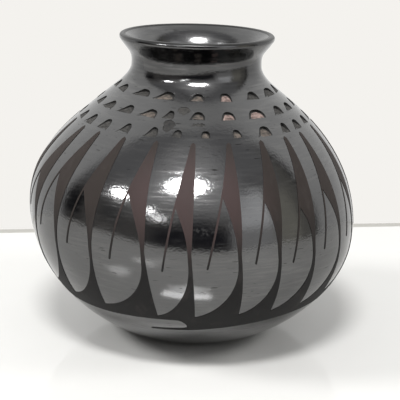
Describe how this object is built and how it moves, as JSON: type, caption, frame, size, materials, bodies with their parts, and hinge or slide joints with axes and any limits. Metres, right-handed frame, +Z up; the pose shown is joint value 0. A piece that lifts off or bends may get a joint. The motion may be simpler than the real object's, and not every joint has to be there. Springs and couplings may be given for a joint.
{
  "type": "pot",
  "caption": "Round burnished black pot with a narrow flared neck, a gouged shoulder and a matte feather band; stands on a flat foot and holds dry goods or flowers.",
  "frame": {"origin": "middle of the flat underside of the foot", "axes": "+Z up through the mouth, -Y towards the front seen in the picture, +X to the right in the picture"},
  "size_m": [0.1707, 0.1708, 0.1566],
  "materials": {
    "burnished_clay": "gloss",
    "matte_slip": "matte"
  },
  "bodies": {
    "root": {"base_bowl": "burnished_clay", "lower_coil": "burnished_clay", "belly_coil": "burnished_clay", "upper_coil": "burnished_clay", "shoulder_coil": "burnished_clay", "neck_coil": "burnished_clay", "rim_coil": "burnished_clay", "feather_slip": "matte_slip"}
  },
  "joints": []
}
